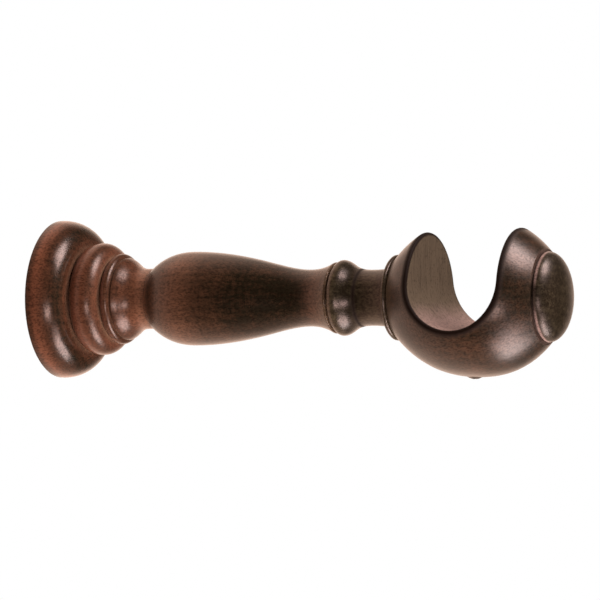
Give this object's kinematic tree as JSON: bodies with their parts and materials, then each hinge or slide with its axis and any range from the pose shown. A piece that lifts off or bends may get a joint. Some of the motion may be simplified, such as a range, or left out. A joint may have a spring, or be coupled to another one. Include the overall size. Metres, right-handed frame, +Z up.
{
  "type": "curtain pole bracket",
  "caption": "Turned wooden wall bracket with a moulded rose, a vase-shaped arm and a ball end bored and slotted as an open cradle for a curtain pole.",
  "frame": {"origin": "centre of the flat back of the rose, where the turning axis meets the wall", "axes": "+X out from the wall along the turning axis, +Z up out of the cradle's mouth, the pole lies along Y"},
  "size_m": [0.168, 0.049, 0.049],
  "materials": {
    "stained_wood": "dark red-brown stain under satin lacquer",
    "bronzed_steel": "dark bronzed steel"
  },
  "bodies": {
    "root": {"turned_bracket": "stained_wood", "pole_screw": "bronzed_steel"}
  },
  "joints": []
}
